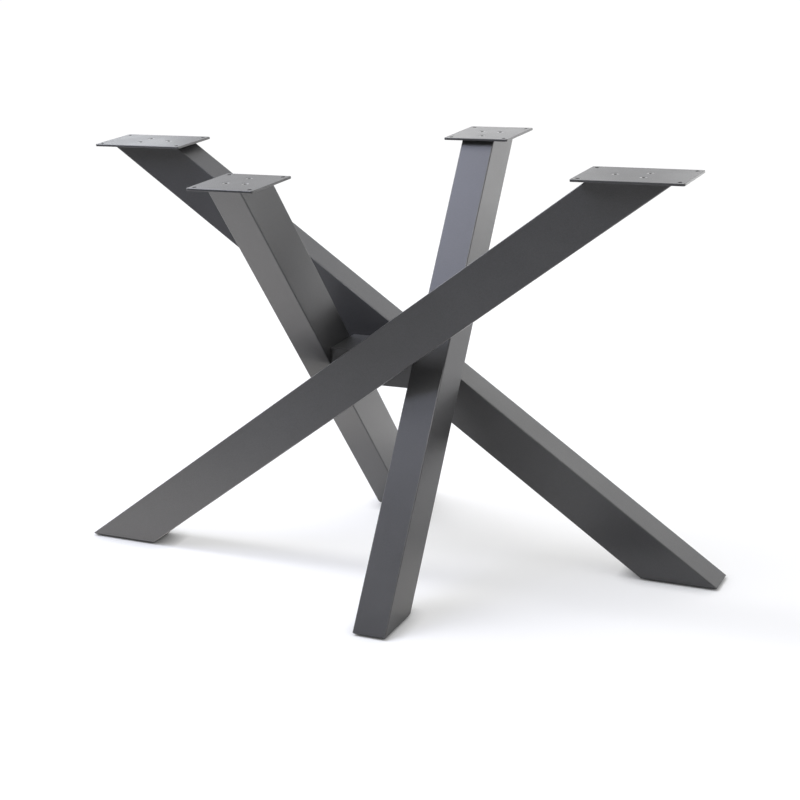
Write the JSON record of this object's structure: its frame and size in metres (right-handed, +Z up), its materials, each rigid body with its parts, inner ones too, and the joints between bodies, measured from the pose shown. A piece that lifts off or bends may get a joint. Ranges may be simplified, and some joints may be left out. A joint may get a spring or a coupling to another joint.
{
  "type": "table frame",
  "caption": "Crossed table frame of leaning rectangular steel tubes bolted round a centre hub, with screwed-on top plates for a tabletop and level plastic feet.",
  "frame": {"origin": "on the floor, under the middle of the centre hub", "axes": "+X along the front and rear legs, from the front leg's foot towards its top plate; +Y away from the viewer, the way the right leg rises; +Z up"},
  "size_m": [1.1738, 0.6316, 0.73],
  "materials": {
    "powder_coat": "satin anthracite powder coat with a fine texture",
    "raw_steel": "plain sawn steel",
    "zinc_steel": "zinc-plated steel",
    "black_steel": "blackened steel",
    "foot_plastic": "matt moulded plastic"
  },
  "bodies": {
    "root": {"centre_hub": "powder_coat", "front_leg": "powder_coat", "front_leg_cap": "raw_steel", "front_top_plate": "powder_coat", "front_plate_screws": "black_steel", "front_foot_plug": "foot_plastic", "front_hub_washers": "zinc_steel", "front_hub_bolts": "zinc_steel", "right_leg": "powder_coat", "right_leg_cap": "raw_steel", "right_top_plate": "powder_coat", "right_plate_screws": "black_steel", "right_foot_plug": "foot_plastic", "right_hub_washers": "zinc_steel", "right_hub_bolts": "zinc_steel", "rear_leg": "powder_coat", "rear_leg_cap": "raw_steel", "rear_top_plate": "powder_coat", "rear_plate_screws": "black_steel", "rear_foot_plug": "foot_plastic", "rear_hub_washers": "zinc_steel", "rear_hub_bolts": "zinc_steel", "left_leg": "powder_coat", "left_leg_cap": "raw_steel", "left_top_plate": "powder_coat", "left_plate_screws": "black_steel", "left_foot_plug": "foot_plastic", "left_hub_washers": "zinc_steel", "left_hub_bolts": "zinc_steel"}
  },
  "joints": []
}
